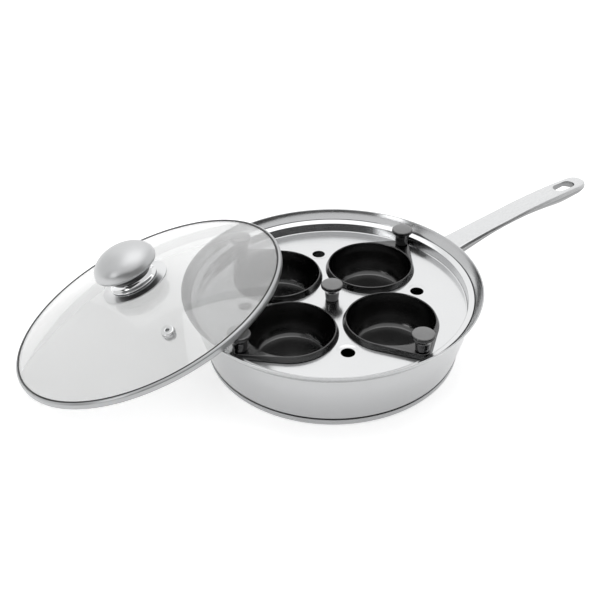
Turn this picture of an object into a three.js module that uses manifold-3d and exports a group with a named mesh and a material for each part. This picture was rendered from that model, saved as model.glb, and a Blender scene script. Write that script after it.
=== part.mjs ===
// Egg poacher pan: a steel pan with a lift-out tray, four egg cups and a glass lid that leans on the rim.
// Millimetres, +Z up. The pan stands on z = 0 with its axis on the origin, and its handle runs along +X.
import * as THREE from 'three';
import { mergeVertices } from 'three/addons/utils/BufferGeometryUtils.js';
import Module from 'manifold-3d';

const wasm = await Module();
wasm.setup();

// Clearances
const fitGap = 0.3; // between two pieces that rest on each other
const boreGap = 0.4; // between a screw and its hole
const overrun = 5; // how far a cutter runs past what it cuts

// Egg cups, the sizes that the tray and the pan are laid out from
const cupCrestRadius = 36.6;
const cupCrestHeight = 5; // above the tray
const cupDepth = 30.7;
const cupFlatInset = 9.6; // crest to the flat of the bottom
const cupWaistInset = 1.4; // crest to the waist
const cupWaistDrop = 8.9; // crest to where the wall starts to round in
const cupSheet = 1.2;
const cupHoleGap = 0.9; // bowl to tray, at the waist
const shoulderWidth = 0.7;
const shoulderDrop = 0.5;
const skirtFlare = 2.1;
const cupSpacing = 3.5; // between the skirts of two neighbours
const earOverhang = 9.8; // crest to the knob's axis
const earTopRadius = 6.5;
const earFlare = 0.9;
const cupFlatRadius = cupCrestRadius - cupFlatInset;
const cupWaistRadius = cupCrestRadius - cupWaistInset;
const shoulderRadius = cupCrestRadius + shoulderWidth;
const skirtRadius = shoulderRadius + skirtFlare;
const earReach = cupCrestRadius + earOverhang;
const earFootRadius = earTopRadius + earFlare;
const cupCircleRadius = (skirtRadius + cupSpacing / 2) * Math.SQRT2;
const cups = [
  { name: 'front_right', placeAngle: -68.6, earAngle: -95.4 },
  { name: 'back_right', placeAngle: 21.4, earAngle: 15.7 },
  { name: 'back_left', placeAngle: 111.4, earAngle: 104.5 },
  { name: 'front_left', placeAngle: -158.6, earAngle: -177.8 },
];

// Capsule base
const baseSheet = 0.9;
const coreThickness = 6.5;
const floorSheet = 1;
const bandSeamDrop = 0.6; // the band's edge to the level of the pan's floor
const bandSeamStep = 0.3; // the band's edge to the wall above it
const baseRounding = 5.4;
const baseCornerHeight = 4.7;
const floorHeight = baseSheet + coreThickness + 2 * fitGap + floorSheet;
const baseBandHeight = floorHeight - bandSeamDrop;

// Poaching tray
const waterDepth = 11.3; // pan floor to the underside of the cups
const traySheet = 0.9;
const trayDepth = 8.5;
const trayCorner = 0.6;
const earToWall = 1; // an ear that points outwards to the tray's wall
const flangeWidth = 4.8;
const flangeRise = 1.6;
const steamCircleInset = 39.5;
const steamHoleRadius = 5.75;
const steamCircleAngle = -23.8;
const trayHeight = floorHeight + waterDepth + cupSheet + cupDepth - cupCrestHeight;
const trayWallRadius = cupCircleRadius + earReach + earFootRadius + earToWall;
const steamCircleRadius = trayWallRadius - steamCircleInset;
const flangeFootHeight = trayHeight + trayDepth;
const flangeRadius = trayWallRadius + flangeWidth;

// Pan body, whose ledge carries the tray's flange
const wallSheet = 1.2;
const wallDraft = 9.9;
const wallSag = 0.5;
const vesselCorner = 3.5;
const ledgeGap = 0.5; // flange to the wall above the ledge
const ledgeWidth = 1.4;
const ledgeRise = 0.5;
const lipSheet = 1;
const flareWidth = 6.4;
const flareHeight = 7.7;
const flareSag = 0.5;
const flareStep = 1.2; // ledge to the foot of the flare
const ledgeHeight = flangeFootHeight + flangeRise - traySheet - fitGap - ledgeRise;
const ledgeRadius = flangeRadius + ledgeGap;
const wallTopRadius = ledgeRadius - ledgeWidth + wallSheet;
const wallFootRadius = wallTopRadius - wallDraft;
const flareFootRadius = ledgeRadius + fitGap;
const flareFootHeight = ledgeHeight + ledgeRise + flareStep;
const rimRadius = flareFootRadius + flareWidth;
const rimHeight = flareFootHeight + flareHeight;
const baseBandRadius = wallFootRadius - bandSeamStep;
const baseRadius = baseBandRadius - baseRounding;

// Handle
const handleBite = 6; // how far the raw handle reaches into the wall before its root is cut to it
const handleLength = 176;
const handleDrop = 7.2; // rim to the top of the handle's root
const handleRise = 20.2;
const handleHalfWidth = 13.2;
const handleDepth = 14.2;
const hangSlotInset = 23; // slot centre to the tip
const hangSlotLength = 23.5;
const hangSlotWidth = 11.8;
const handleRootDistance = wallTopRadius - handleBite;
const handleRootHeight = rimHeight - handleDrop;

// Lifting knobs and their screws
const knobHeight = 16.4;
const knobCapRadius = 9.3;
const knobCapHeight = 4.8;
const knobCrown = 0.9;
const knobStemRadius = 6.3;
const knobFootRadius = 5.6;
const knobFlareHeight = 3;
const screwRadius = 1.6;
const screwHeadRadius = 3.2;
const screwHeadHeight = 1.7;
const screwReach = 7.5; // thread inside the knob

// Lid
const lidSideAngle = 147.4;
const lidStandOff = 146.5; // pan's rim to the lid's edge on the table
const lidRestGap = 0.6; // under the leaning glass, over the pan's rim
const lidInset = 3; // pan's rim to the band's foot, when the lid is on
const bandBulge = 0.5;
const bandSheet = 0.6;
const bandWall = 1; // the band's upright wall
const bandFootLip = 2.6;
const glassThickness = 4;
const glassRise = 23.1;
const lidBoreRadius = 3;
const plateRadius = 29;
const plateSheet = 0.9;
const collarFootRadius = 20.7;
const collarTopRadius = 17;
const collarHeight = 5.6;
const neckHeight = 7.7;
const neckTopRadius = 22;
const gripRadius = 27.4;
const gripRimHeight = 4.2;
const gripHeight = 18.5;
const gripBoreDepth = 7;
const washerRadius = 12;
const washerThickness = 1.6;
const lidScrewHeadRadius = 6;
const lidScrewHeadHeight = 2.6;
const bandFootRadius = rimRadius - lidInset;
const bandRadius = bandFootRadius + bandBulge;
const glassRadius = bandRadius - bandWall - 2 * fitGap;
const bandLipRadius = glassRadius - fitGap;
const glassRimHeight = bandSheet + fitGap + glassThickness;
const bandHeight = glassRimHeight + fitGap + bandSheet;
const lidReach = rimRadius + lidStandOff;

// Steam vent in the lid
const ventInset = 37; // glass edge to the vent's axis
const ventAngle = -63;
const ventFlangeRadius = 5.6;
const ventCrown = 4.4;
const ventTubeRadius = 3.3;
const ventBore = 1.6;
const ventNutRadius = 4.9;
const ventNutHeight = 1.8;
const ventReach = glassRadius - ventInset;

// Facets round each size of circle
const wideSegments = 44;
const cupSegments = 21;
const gripSegments = 24;
const smallSegments = 16;
const screwSegments = 8;
const holeSegments = 18;

const steel = { color: 0xc6c8ca, roughness: 0.28, metalness: 1 };
const polishedSteel = { color: 0xdddfe0, roughness: 0.1, metalness: 1 };
const brushedSteel = { color: 0xb4b6b8, roughness: 0.38, metalness: 1 };
const aluminium = { color: 0xb9bbbd, roughness: 0.5, metalness: 1 };
const nonStick = { color: 0x101112, roughness: 0.42, metalness: 0 };
const blackPlastic = { color: 0x18191a, roughness: 0.45, metalness: 0 };
const silicone = { color: 0xd8d9d8, roughness: 0.7, metalness: 0 };
const glass = { color: 0xdfe4e4, roughness: 0.04, metalness: 0, transparent: true, opacity: 0.35 };

const group = new THREE.Group();
const radians = THREE.MathUtils.degToRad;
const mix = THREE.MathUtils.lerp;

// One named piece with its own material.
function addPiece(name, geometry, look, parent = group) {
  const mesh = new THREE.Mesh(geometry, new THREE.MeshStandardMaterial(look));
  mesh.name = name;
  parent.add(mesh);
  return mesh;
}

// A geometry with shared corners only, its faces pointing outwards.
function closedBody(geometry) {
  geometry.deleteAttribute('normal');
  geometry.deleteAttribute('uv');
  const merged = mergeVertices(geometry);
  if (signedVolume(merged) < 0) {
    merged.index.array.reverse();
  }
  return merged;
}

function signedVolume(geometry) {
  const place = geometry.attributes.position;
  const corner = [new THREE.Vector3(), new THREE.Vector3(), new THREE.Vector3()];
  let volume = 0;
  for (let i = 0; i < geometry.index.count; i += 3) {
    corner.forEach((point, k) => point.fromBufferAttribute(place, geometry.index.getX(i + k)));
    volume += corner[0].dot(corner[1].cross(corner[2]));
  }
  return volume;
}

function toManifold(geometry) {
  const body = closedBody(geometry);
  const vertProperties = new Float32Array(body.attributes.position.array);
  const triVerts = new Uint32Array(body.index.array);
  return new wasm.Manifold(new wasm.Mesh({ numProp: 3, vertProperties, triVerts }));
}

function fromManifold(solid) {
  const mesh = solid.getMesh();
  const geometry = new THREE.BufferGeometry();
  geometry.setAttribute('position', new THREE.BufferAttribute(mesh.vertProperties, 3));
  geometry.setIndex(new THREE.BufferAttribute(mesh.triVerts, 1));
  return geometry;
}

function cutFrom(geometry, cutters) {
  let solid = toManifold(geometry);
  for (const cutter of cutters) {
    solid = solid.subtract(toManifold(cutter));
  }
  return fromManifold(solid);
}

// A solid of revolution about Z from [radius, height] points.
function revolve(outline, segments) {
  const first = outline[0];
  const last = outline[outline.length - 1];
  const closed = first[0] === 0 && last[0] === 0;
  const points = (closed ? outline : [...outline, first]).map(([r, z]) => new THREE.Vector2(r, z));
  const geometry = new THREE.LatheGeometry(points, segments);
  geometry.rotateX(Math.PI / 2);
  return closedBody(geometry);
}

// Points from start to end, bowed to the left of that line by the sagitta, ends included.
function bow(start, end, sagitta, steps) {
  const length = Math.hypot(end[0] - start[0], end[1] - start[1]);
  const left = [(start[1] - end[1]) / length, (end[0] - start[0]) / length];
  return Array.from({ length: steps + 1 }, (_, i) => {
    const share = i / steps;
    const out = sagitta * 4 * share * (1 - share);
    return [
      mix(start[0], end[0], share) + left[0] * out,
      mix(start[1], end[1], share) + left[1] * out,
    ];
  });
}

// An upright cylinder, for cutting.
function drill(radius, bottom, top, x = 0, y = 0, segments = holeSegments) {
  const geometry = new THREE.CylinderGeometry(radius, radius, top - bottom, segments);
  geometry.rotateX(Math.PI / 2);
  geometry.translate(x, y, mix(bottom, top, 0.5));
  return geometry;
}

// A closed skin through rings of equal length, with a fan on the first and on the last ring.
function loft(rings) {
  const count = rings[0].length;
  const corners = rings.flat(2);
  const faces = [];
  for (let k = 0; k + 1 < rings.length; k += 1) {
    for (let i = 0; i < count; i += 1) {
      const j = (i + 1) % count;
      const low = k * count;
      const high = low + count;
      faces.push(low + i, low + j, high + j, low + i, high + j, high + i);
    }
  }
  for (const [ring, turned] of [[0, true], [rings.length - 1, false]]) {
    const centre = corners.length / 3;
    for (const axis of [0, 1, 2]) {
      corners.push(rings[ring].reduce((sum, point) => sum + point[axis], 0) / count);
    }
    for (let i = 0; i < count; i += 1) {
      const a = ring * count + i;
      const b = ring * count + ((i + 1) % count);
      faces.push(...(turned ? [centre, b, a] : [centre, a, b]));
    }
  }
  const geometry = new THREE.BufferGeometry();
  geometry.setAttribute('position', new THREE.Float32BufferAttribute(corners, 3));
  geometry.setIndex(faces);
  return closedBody(geometry);
}

// The outside of the vessel, from the axis out to the lip; the handle's root is cut to it as well.
function vesselOutside() {
  const underside = floorHeight - floorSheet;
  const cornerCentre = [wallFootRadius - vesselCorner, underside + vesselCorner];
  const corner = [0, 0.35, 0.7, 1].map((share) => {
    const turn = (share * Math.PI) / 2;
    return [cornerCentre[0] + vesselCorner * Math.sin(turn), cornerCentre[1] - vesselCorner * Math.cos(turn)];
  });
  const wallTop = [wallTopRadius, ledgeHeight - ledgeRise];
  const flareFoot = [flareFootRadius + lipSheet, flareFootHeight - ledgeRise];
  return [
    [0, underside],
    ...corner,
    ...bow(corner[3], wallTop, -wallSag, 3).slice(1),
    ...bow(flareFoot, [rimRadius, rimHeight - lipSheet], -flareSag, 3),
  ];
}

function makePanBody() {
  const wallTop = [wallTopRadius - wallSheet, ledgeHeight];
  const wallFoot = [wallFootRadius - wallSheet, floorHeight + vesselCorner];
  const outline = [
    ...vesselOutside(),
    [rimRadius, rimHeight],
    ...bow([rimRadius - lipSheet, rimHeight], [flareFootRadius, flareFootHeight], flareSag, 3),
    [ledgeRadius, ledgeHeight + ledgeRise],
    ...bow(wallTop, wallFoot, wallSag, 3),
    [wallFoot[0] - vesselCorner, floorHeight],
    [0, floorHeight],
  ];
  addPiece('pan_body', revolve(outline, wideSegments), steel);
}

// The stainless cap and the aluminium disc that it holds against the vessel.
function makeBase() {
  const innerFoot = baseRadius - baseSheet / 2;
  const innerBand = baseBandRadius - baseSheet;
  const cap = [
    [0, 0],
    ...bow([baseRadius, 0], [baseBandRadius, baseCornerHeight], -baseSheet, 2),
    [baseBandRadius, baseBandHeight],
    [innerBand, baseBandHeight],
    ...bow([innerBand, baseCornerHeight], [innerFoot, baseSheet], baseSheet, 2),
    [0, baseSheet],
  ];
  addPiece('base_cap', revolve(cap, wideSegments), steel);

  const coreBottom = baseSheet + fitGap;
  const coreTop = floorHeight - floorSheet - fitGap;
  const coreRadius = innerBand - 2 * fitGap;
  const core = [
    [0, coreBottom],
    [innerFoot - fitGap, coreBottom],
    [coreRadius, baseCornerHeight + fitGap],
    [coreRadius, coreTop],
    [0, coreTop],
  ];
  addPiece('base_core', revolve(core, wideSegments), aluminium);
}

// Stations along the handle: share of the length, of the rise, of the half width and of the depth.
const handleShares = [
  [0, 0, 1, 0.97],
  [0.06, 0.07, 1, 0.95],
  [0.16, 0.218, 0.917, 0.9],
  [0.26, 0.361, 0.879, 0.735],
  [0.34, 0.463, 0.86, 0.61],
  [0.43, 0.57, 0.856, 0.545],
  [0.5, 0.663, 0.856, 0.585],
  [0.57, 0.745, 0.856, 0.65],
  [0.67, 0.834, 0.856, 0.78],
  [0.77, 0.906, 0.856, 0.93],
  [0.825, 0.94, 0.845, 1],
  [0.9, 0.97, 0.82, 0.9],
  [0.945, 0.985, 0.8, 0.8],
  [0.975, 0.993, 0.7, 0.6],
  [0.991, 0.997, 0.52, 0.42],
  [1, 1, 0.2, 0.25],
];
// Half of a cross-section, from the crease at the edge of the top face round to the belly's middle.
const handleSectionShares = [
  [0.5, 0.015],
  [0.93, 0],
  [1, -0.05],
  [1, -0.3],
  [0.88, -0.62],
  [0.58, -0.88],
];

function makeHandle() {
  const right = handleSectionShares;
  const left = right.map(([across, down]) => [-across, down]).reverse();
  const section = [...right, [0, -1], ...left];
  const rings = handleShares.map(([along, up, wide, deep]) => section.map(([across, down]) => [
    handleRootDistance + along * handleLength,
    across * wide * handleHalfWidth,
    handleRootHeight + up * handleRise + down * deep * handleDepth,
  ]));
  const top = [0, rimHeight];
  const seat = revolve([...vesselOutside().map(([r, z]) => [r === 0 ? 0 : r + boreGap, z]), top], wideSegments);
  addPiece('handle', cutFrom(loft(rings), [seat, hangSlotCutter()]), brushedSteel);
}

function hangSlotCutter() {
  const radius = hangSlotWidth / 2;
  const half = hangSlotLength / 2 - radius;
  const shape = new THREE.Shape();
  shape.absarc(half, 0, radius, -Math.PI / 2, Math.PI / 2, false);
  shape.absarc(-half, 0, radius, Math.PI / 2, (3 * Math.PI) / 2, false);
  const depth = handleDepth + 2 * overrun;
  const cutter = new THREE.ExtrudeGeometry(shape, { depth, bevelEnabled: false, curveSegments: 10 });
  const tip = handleRootDistance + handleLength;
  cutter.translate(tip - hangSlotInset, 0, handleRootHeight + handleRise - handleDepth - overrun);
  return cutter;
}

function cupPlace(cup) {
  const angle = radians(cup.placeAngle);
  return [cupCircleRadius * Math.cos(angle), cupCircleRadius * Math.sin(angle)];
}

function cupHoleRadius() {
  return cupWaistRadius + cupSheet + cupHoleGap;
}

function makeTray() {
  const bottom = trayHeight - traySheet;
  const outerWall = trayWallRadius + traySheet;
  const flangeTop = flangeFootHeight + flangeRise;
  const outline = [
    [0, trayHeight],
    [trayWallRadius - trayCorner, trayHeight],
    [trayWallRadius, trayHeight + trayCorner],
    [trayWallRadius, flangeFootHeight - fitGap],
    [trayWallRadius + fitGap, flangeFootHeight],
    [flangeRadius, flangeTop],
    [flangeRadius, flangeTop - traySheet],
    [outerWall + fitGap, flangeFootHeight - traySheet],
    [outerWall, flangeFootHeight - traySheet - fitGap],
    [outerWall, bottom + trayCorner],
    [outerWall - trayCorner, bottom],
    [0, bottom],
  ];
  const low = bottom - overrun;
  const high = trayHeight + overrun;
  const cutters = [drill(screwRadius + boreGap, low, high, 0, 0, screwSegments)];
  cups.forEach((cup, i) => {
    cutters.push(drill(cupHoleRadius(), low, high, ...cupPlace(cup), 2 * holeSegments));
    const angle = radians(steamCircleAngle) + (i * Math.PI) / 2;
    const x = steamCircleRadius * Math.cos(angle);
    const y = steamCircleRadius * Math.sin(angle);
    cutters.push(drill(steamHoleRadius, low, high, x, y));
  });
  addPiece('poaching_tray', cutFrom(revolve(outline, wideSegments), cutters), polishedSteel);
}

// A lifting knob that stands on z = 0, with a blind hole for its screw.
function knobGeometry() {
  const capFoot = knobHeight - knobCapHeight;
  const bore = screwRadius + boreGap;
  return revolve([
    [bore, 0],
    [knobFootRadius, 0],
    [knobStemRadius, capFoot - knobFlareHeight],
    [knobCapRadius - knobCrown, capFoot],
    [knobCapRadius, capFoot + knobCrown],
    [knobCapRadius, knobHeight - 2 * knobCrown],
    [knobCapRadius - knobCrown, knobHeight - knobCrown],
    [0, knobHeight],
    [0, screwReach + boreGap],
    [bore, screwReach + boreGap],
  ], smallSegments);
}

// Its screw: the head hangs under the sheet, the thread ends inside the knob.
function screwGeometry(sheet) {
  const headTop = -sheet - 2 * fitGap;
  return revolve([
    [0, headTop - screwHeadHeight],
    [screwHeadRadius, headTop - screwHeadHeight],
    [screwHeadRadius, headTop],
    [screwRadius, headTop],
    [screwRadius, screwReach],
    [0, screwReach],
  ], screwSegments);
}

// Corners round a cup circle drawn out to a smaller circle at the ear, as [x, y], starting at the ear's tip.
function teardrop(radius, tipRadius) {
  const flank = Math.acos((radius - tipRadius) / earReach);
  const points = [];
  const tipSteps = 7;
  for (let i = 0; i <= tipSteps; i += 1) {
    const angle = mix(-flank, flank, i / tipSteps);
    points.push([earReach + tipRadius * Math.cos(angle), tipRadius * Math.sin(angle)]);
  }
  const start = points[tipSteps];
  const end = [radius * Math.cos(flank), radius * Math.sin(flank)];
  points.push([mix(start[0], end[0], 0.5), mix(start[1], end[1], 0.5)]);
  for (let i = 0; i <= cupSegments; i += 1) {
    const angle = mix(flank, 2 * Math.PI - flank, i / cupSegments);
    points.push([radius * Math.cos(angle), radius * Math.sin(angle)]);
  }
  points.push([mix(start[0], end[0], 0.5), -mix(start[1], end[1], 0.5)]);
  return points;
}

// The bowl's wall from the waist down to the flat, moved out by the sheet for its outer side.
function bowlWall(sheet) {
  const waist = cupCrestHeight - cupWaistDrop;
  const roundShares = [0, 0.35, 0.7, 1];
  return roundShares.map((share) => {
    const turn = (share * Math.PI) / 2;
    return [
      cupFlatRadius + (cupWaistRadius + sheet - cupFlatRadius) * Math.cos(turn),
      waist - (cupDepth - cupWaistDrop + sheet) * Math.sin(turn),
    ];
  });
}

// A cup about its own axis, z = 0 on the tray, its ear towards +X.
function cupGeometry() {
  const shoulder = teardrop(shoulderRadius, earTopRadius);
  const foot = teardrop(skirtRadius, earFootRadius);
  const footInside = teardrop(skirtRadius - cupSheet, earFootRadius - cupSheet);
  const roofInside = teardrop(shoulderRadius, earTopRadius - cupSheet / 2);
  const circle = (radius, z) => shoulder.map(([x, y]) => {
    const length = Math.hypot(x, y);
    return [(x * radius) / length, (y * radius) / length, z];
  });
  const flat = cupCrestHeight - cupDepth;
  const lip = cupCrestHeight - shoulderDrop;
  const inside = [[cupCrestRadius - cupSheet / 2, lip], ...bowlWall(0)];
  const outside = bowlWall(cupSheet);
  // The roof over the skirt's hollow is lower round the bowl than under the ear.
  const roof = shoulder.map(([x, y]) => {
    const out = Math.min(1, (Math.hypot(x, y) - shoulderRadius) / earTopRadius);
    return mix(cupCrestHeight / 2, lip - cupSheet, out);
  });
  const rings = [
    ...inside.reverse().map(([r, z]) => circle(r, z)),
    circle(cupCrestRadius, cupCrestHeight),
    circle(shoulderRadius - shoulderDrop / 2, lip),
    shoulder.map(([x, y]) => [x, y, lip]),
    foot.map(([x, y]) => [x, y, fitGap]),
    footInside.map(([x, y]) => [x, y, fitGap]),
    roofInside.map(([x, y], i) => [x, y, roof[i]]),
    circle(cupCrestRadius, 0).map(([x, y], i) => [x, y, roof[i]]),
    ...outside.map(([r, z]) => circle(r, z)),
  ];
  const hole = drill(screwRadius + boreGap, 0, cupCrestHeight + overrun, earReach, 0, screwSegments);
  return cutFrom(loft(rings), [hole]);
}

function makeCups() {
  const cup = cupGeometry();
  const knob = knobGeometry();
  const screw = screwGeometry(cupSheet);
  for (const { name, placeAngle, earAngle } of cups) {
    const seat = new THREE.Group();
    const [x, y] = cupPlace({ placeAngle });
    seat.position.set(x, y, trayHeight);
    seat.rotation.z = radians(earAngle);
    group.add(seat);
    addPiece(`egg_cup_${name}`, cup, nonStick, seat);
    const knobBase = cupCrestHeight - shoulderDrop + fitGap;
    addPiece(`cup_knob_${name}`, knob, blackPlastic, seat).position.set(earReach, 0, knobBase);
    addPiece(`cup_screw_${name}`, screw, steel, seat).position.set(earReach, 0, knobBase);
  }
}

function makeCentreKnob() {
  const base = trayHeight + fitGap;
  addPiece('centre_knob', knobGeometry(), blackPlastic).position.z = base;
  addPiece('centre_knob_screw', screwGeometry(traySheet), steel).position.z = base;
}

// Height of the glass above the band's foot at a distance from the lid's axis.
function domeHeight(radius) {
  const share = radius / glassRadius;
  return glassRimHeight + glassRise * (1 - share * share);
}

function makeLidGlass(lid) {
  const shares = [1, 0.8, 0.6, 0.4, 0.2];
  const top = shares.map((share) => [share * glassRadius, domeHeight(share * glassRadius)]);
  const bottom = top.map(([r, z]) => [r, z - glassThickness]).reverse();
  const apex = domeHeight(0);
  const dome = revolve([[0, apex - glassThickness], ...bottom, ...top, [0, apex]], wideSegments);
  const bore = drill(lidBoreRadius, 0, apex + overrun);
  const vent = drill(ventTubeRadius + fitGap, -ventFlangeRadius - overrun, ventCrown + overrun);
  placeOnDome(vent);
  addPiece('lid_glass', cutFrom(dome, [bore, vent]), glass, lid);
}

// Turns a piece made about z = 0 so that it stands on the dome at the vent's place.
function placeOnDome(geometry) {
  const slope = (2 * glassRise * ventReach) / (glassRadius * glassRadius);
  geometry.rotateY(Math.atan(slope));
  geometry.translate(ventReach, 0, domeHeight(ventReach));
  geometry.rotateZ(radians(ventAngle));
}

function makeLidBand(lid) {
  const channel = glassRadius + fitGap;
  const outline = [
    [bandFootRadius - bandFootLip, 0],
    [bandFootRadius, 0],
    [bandRadius, 2 * bandSheet],
    [bandRadius, bandHeight - 2 * bandSheet],
    [bandLipRadius + bandSheet, bandHeight],
    [bandLipRadius, bandHeight],
    [bandLipRadius, bandHeight - bandSheet],
    [channel, bandHeight - bandSheet],
    [channel, bandSheet],
    [bandFootRadius - bandFootLip, bandSheet],
  ];
  addPiece('lid_band', revolve(outline, wideSegments), steel, lid);
}

function makeVent(lid) {
  const below = -glassThickness - fitGap;
  const vent = revolve([
    [ventBore, below - ventNutHeight],
    [ventNutRadius, below - ventNutHeight],
    [ventNutRadius, below],
    [ventTubeRadius, below],
    [ventTubeRadius, fitGap],
    [ventFlangeRadius, fitGap],
    [ventFlangeRadius, ventCrown / 2],
    [ventTubeRadius + ventBore, ventCrown],
    [ventBore, ventCrown],
  ], smallSegments);
  placeOnDome(vent);
  addPiece('steam_vent', vent, polishedSteel, lid);
}

// Plate, collar, neck and grip stacked on the dome, with the washer and screw below the glass.
function makeLidKnob(lid) {
  const apex = domeHeight(0);
  const plateTop = apex + fitGap + plateSheet;
  const droop = apex - domeHeight(plateRadius);
  addPiece('lid_knob_plate', revolve([
    [lidBoreRadius, apex + fitGap],
    [plateRadius, apex + fitGap - droop],
    [plateRadius, plateTop - droop],
    [collarFootRadius + fitGap, plateTop],
    [lidBoreRadius, plateTop],
  ], gripSegments), polishedSteel, lid);

  const collarBase = plateTop + fitGap;
  const collarTop = collarBase + collarHeight;
  addPiece('lid_knob_collar', revolve([
    [lidBoreRadius, collarBase],
    [collarFootRadius, collarBase],
    ...bow([collarFootRadius, collarBase + plateSheet], [collarTopRadius, collarTop], plateSheet, 2),
    [lidBoreRadius, collarTop],
  ], gripSegments), polishedSteel, lid);

  const neckBase = collarTop + fitGap;
  const neckTop = neckBase + neckHeight;
  addPiece('lid_knob_neck', revolve([
    [lidBoreRadius, neckBase],
    ...bow([collarTopRadius, neckBase], [neckTopRadius, neckTop], -plateSheet, 3),
    [lidBoreRadius, neckTop],
  ], gripSegments), blackPlastic, lid);

  const gripBase = neckTop + fitGap;
  const boreTop = gripBase + gripBoreDepth;
  const rim = [gripRadius, gripBase + gripRimHeight / 2];
  const domeShares = [0.2, 0.4, 0.6, 0.8, 1];
  const dome = domeShares.map((share) => {
    const turn = (share * Math.PI) / 2;
    const rise = gripHeight - gripRimHeight / 2;
    return [gripRadius * Math.cos(turn), rim[1] + rise * Math.sin(turn)];
  });
  dome[dome.length - 1][0] = 0;
  addPiece('lid_knob_cap', revolve([
    [lidBoreRadius, gripBase],
    [gripRadius - plateSheet, gripBase],
    rim,
    ...dome,
    [0, boreTop],
    [lidBoreRadius, boreTop],
  ], gripSegments), brushedSteel, lid);

  const washerTop = apex - glassThickness - fitGap;
  const washerBottom = washerTop - washerThickness;
  addPiece('lid_knob_washer', revolve([
    [lidBoreRadius, washerBottom],
    [washerRadius, washerBottom],
    [washerRadius, washerTop - (apex - domeHeight(washerRadius))],
    [lidBoreRadius, washerTop],
  ], gripSegments), silicone, lid);

  const headTop = washerBottom - fitGap;
  const thread = lidBoreRadius - boreGap;
  addPiece('lid_knob_screw', revolve([
    [0, headTop - lidScrewHeadHeight],
    [lidScrewHeadRadius, headTop - lidScrewHeadHeight],
    [lidScrewHeadRadius, headTop],
    [thread, headTop],
    [thread, boreTop - boreGap],
    [0, boreTop - boreGap],
  ], smallSegments), steel, lid);
}

// Where the lid's frame lies when it leans by an angle with its edge on the table.
function lidFrame(lean) {
  const side = radians(lidSideAngle);
  const inward = lidReach - bandFootRadius * Math.cos(lean);
  const frame = new THREE.Group();
  const height = fitGap + bandFootRadius * Math.sin(lean);
  frame.position.set(inward * Math.cos(side), inward * Math.sin(side), height);
  frame.rotation.set(0, -lean, side - Math.PI, 'ZYX');
  frame.updateMatrixWorld();
  return frame;
}

// Points that the lid can come to rest on: the rim and the caps of the lifting knobs.
function lidRestPoints() {
  const around = (x, y, radius, z, count) => Array.from({ length: count }, (_, i) => {
    const turn = (i / count) * 2 * Math.PI;
    return new THREE.Vector3(x + radius * Math.cos(turn), y + radius * Math.sin(turn), z);
  });
  const points = around(0, 0, rimRadius, rimHeight, 8 * wideSegments);
  const capEdge = trayHeight + cupCrestHeight - shoulderDrop + fitGap + knobHeight - knobCrown;
  for (const cup of cups) {
    const [x, y] = cupPlace(cup);
    const ear = radians(cup.earAngle);
    const knob = [x + earReach * Math.cos(ear), y + earReach * Math.sin(ear)];
    points.push(...around(...knob, knobCapRadius - knobCrown, capEdge, smallSegments));
    points.push(...around(...knob, knobCapRadius, capEdge - knobCrown, smallSegments));
  }
  return points;
}

// The least height of the lid's underside over those points, along its own axis.
function lidClearance(lean, points) {
  const frame = lidFrame(lean);
  const bandInner = bandFootRadius - bandFootLip;
  return Math.min(...points.map((point) => {
    const local = frame.worldToLocal(point.clone());
    const radius = Math.hypot(local.x, local.y);
    if (radius > bandRadius) {
      return rimHeight;
    }
    return (radius > bandInner ? 0 : domeHeight(radius) - glassThickness) - local.z;
  }));
}

// The least lean that leaves the rest gap over everything under the lid.
function lidLean() {
  const points = lidRestPoints();
  let flat = 0;
  let steep = Math.PI / 3;
  for (let i = 0; i < 30; i += 1) {
    const lean = (flat + steep) / 2;
    if (lidClearance(lean, points) < lidRestGap) {
      flat = lean;
    } else {
      steep = lean;
    }
  }
  return steep;
}

function makeLid() {
  const lid = lidFrame(lidLean());
  group.add(lid);
  makeLidGlass(lid);
  makeLidBand(lid);
  makeVent(lid);
  makeLidKnob(lid);
}

makePanBody();
makeBase();
makeHandle();
makeTray();
makeCentreKnob();
makeCups();
makeLid();

export default group;
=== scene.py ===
"""Looks of the egg poacher pan: smooth steel, mirror tray, non-stick cups and the leaning glass lid.

Outlines in millimetres, objects in metres, in the frame's own axes.
"""
import math

import bmesh
import bpy
from mathutils import Matrix, Vector


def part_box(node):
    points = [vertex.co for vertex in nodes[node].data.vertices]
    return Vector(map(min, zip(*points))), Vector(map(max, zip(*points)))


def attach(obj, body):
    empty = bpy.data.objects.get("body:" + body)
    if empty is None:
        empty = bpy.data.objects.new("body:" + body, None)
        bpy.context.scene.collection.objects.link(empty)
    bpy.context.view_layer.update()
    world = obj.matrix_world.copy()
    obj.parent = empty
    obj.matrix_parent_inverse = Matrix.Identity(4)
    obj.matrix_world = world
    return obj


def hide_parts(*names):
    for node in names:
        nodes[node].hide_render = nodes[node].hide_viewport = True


MM = 0.001
TOLERANCE = 0.00002  # for reading the frame's profiles, in metres
SAME_POINT = 1e-4  # points of an outline that lie closer are one, in millimetres
WELD_DISTANCE = 1e-7  # in metres

# Facets of the finished surfaces
WIDE_SEGMENTS = 256
LID_KNOB_SEGMENTS = 192
CUP_HOLE_SEGMENTS = 160
SMALL_SEGMENTS = 96
CUP_TIP_SEGMENTS = 48
CUP_SIDE_SEGMENTS = 12
CUP_ARC_SEGMENTS = 168
CUP_SEGMENTS = CUP_TIP_SEGMENTS + 2 * CUP_SIDE_SEGMENTS + CUP_ARC_SEGMENTS
BOWL_STEPS = 14
DIMPLE_STEPS = 12
DOME_STEPS = 40
SLOT_STEPS = 40
HANDLE_STEPS = 5
FILLET_STEPS = 5

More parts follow.
